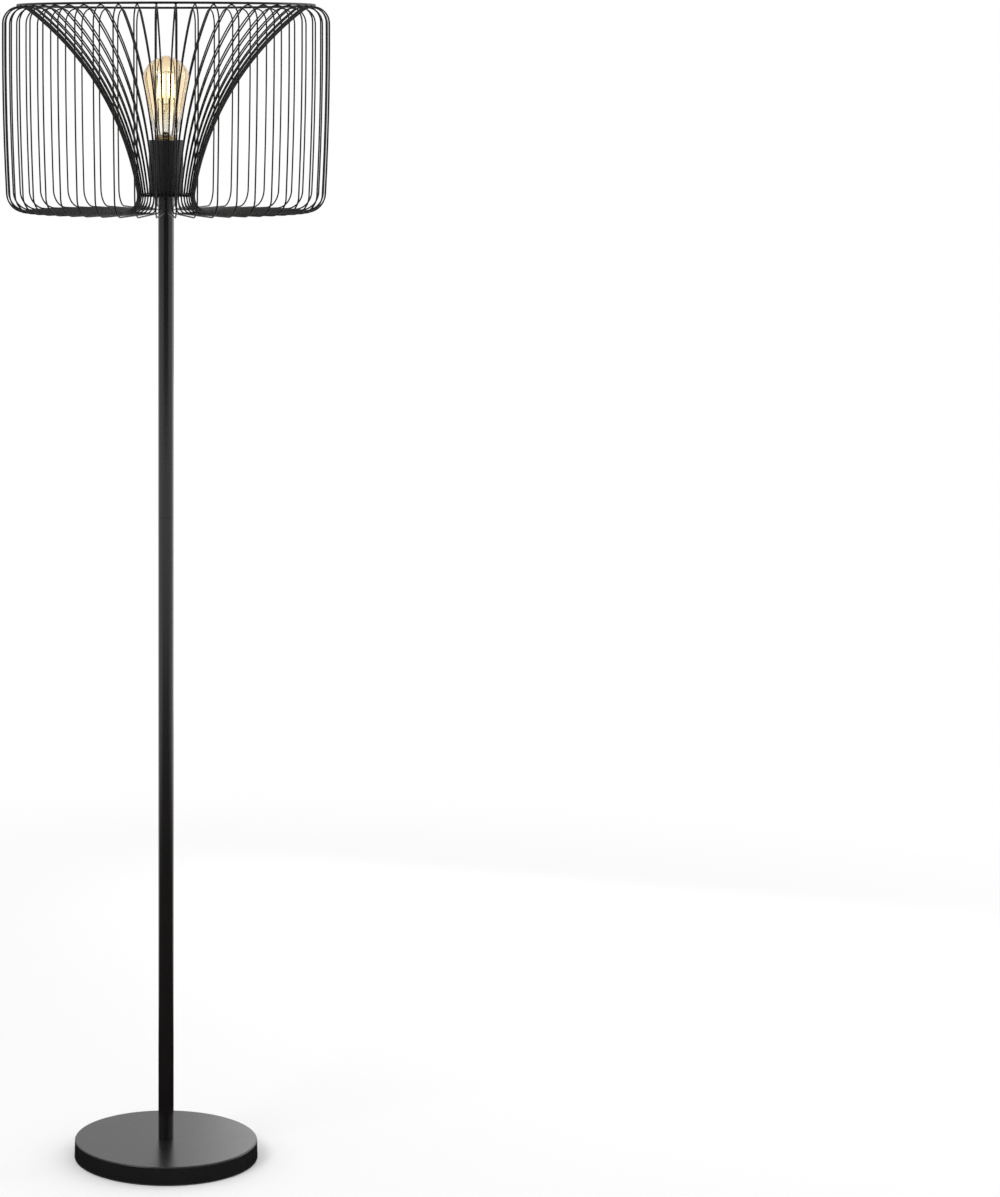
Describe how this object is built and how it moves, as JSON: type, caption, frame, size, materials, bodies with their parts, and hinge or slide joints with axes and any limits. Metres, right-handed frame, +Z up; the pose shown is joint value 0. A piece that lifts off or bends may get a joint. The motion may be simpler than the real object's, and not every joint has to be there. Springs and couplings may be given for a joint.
{
  "type": "floor lamp",
  "caption": "Floor lamp with a round weighted base, a straight slim pole and a trumpet-and-drum cage of black wire loops round a bare amber bulb.",
  "frame": {"origin": "centre of the base on the floor, on the pole's axis", "axes": "+Z up along the pole, -Y to the front, +Y to the cord inlet"},
  "size_m": [0.4562, 0.4552, 1.65],
  "materials": {
    "base_paint": "semi-gloss black powder coat",
    "pole_paint": "satin black powder coat",
    "wire_paint": "satin black powder coat",
    "cover_paint": "matt black powder coat",
    "cast_filler": "rough cast",
    "foam": "closed-cell foam",
    "zinc_steel": "zinc plated",
    "black_nylon": "moulded",
    "phenolic": "moulded, faintly polished",
    "porcelain": "glazed",
    "brass": "bright",
    "cap_brass": "bright, drawn",
    "solder": "solder",
    "lead_sheath": "smooth",
    "core_insulation": "smooth",
    "amber_glass": "thin amber coat, clear at the neck",
    "clear_glass": "clear",
    "black_glass": "opaque glass",
    "filament": "phosphor coat, emissive when lit",
    "nickel_wire": "drawn wire",
    "circuit_board": "solder mask"
  },
  "bodies": {
    "stand": {"base_shell": "base_paint", "base_weight": "cast_filler", "base_pad": "foam", "base_nipple": "zinc_steel", "base_washer": "zinc_steel", "base_nut": "zinc_steel", "cord_gland": "black_nylon", "pole_foot_insert": "zinc_steel", "pole_lower": "pole_paint", "pole_middle": "pole_paint", "pole_upper": "pole_paint", "coupler_stud_lower": "zinc_steel", "coupler_socket_lower": "zinc_steel", "coupler_stud_upper": "zinc_steel", "coupler_socket_upper": "zinc_steel", "pole_top_insert": "zinc_steel", "head_nipple": "zinc_steel", "cage_neck_plate": "wire_paint", "cage_wires_1": "wire_paint", "cage_wires_2": "wire_paint", "cage_wires_3": "wire_paint", "cage_wires_4": "wire_paint", "cage_wires_5": "wire_paint", "cage_top_ring": "wire_paint", "socket_cover": "cover_paint", "head_washer": "zinc_steel", "head_nut": "zinc_steel", "holder_cap": "phenolic", "terminal_block": "porcelain", "holder_barrel": "phenolic", "screw_shell": "brass", "shell_strip": "brass", "centre_contact": "brass", "terminal_screws": "brass", "lead_jacket": "lead_sheath", "lead_cores": "core_insulation"},
    "bulb_lift": {"bulb_tip_contact": "solder"},
    "bulb": {"bulb_glass": "amber_glass", "bulb_cap": "cap_brass", "bulb_insulator": "black_glass", "bulb_stem": "clear_glass", "bulb_filaments": "filament", "bulb_lead_wires": "nickel_wire", "bulb_top_wires": "nickel_wire", "bulb_driver_board": "circuit_board"}
  },
  "joints": [
    {"name": "bulb_rise", "type": "slide", "parent": "stand", "child": "bulb_lift", "axis": [0, 0, 1], "range_m": [0, 0.0182]},
    {"name": "bulb_turn", "type": "hinge", "parent": "bulb_lift", "child": "bulb", "pos_m": [0, 0, 1.4395], "axis": [0, 0, 1], "range_deg": [0, 1800]}
  ],
  "couplings": [
    {"joint": "bulb_rise", "follows": "bulb_turn", "m_per_rad": 0.00057757}
  ]
}
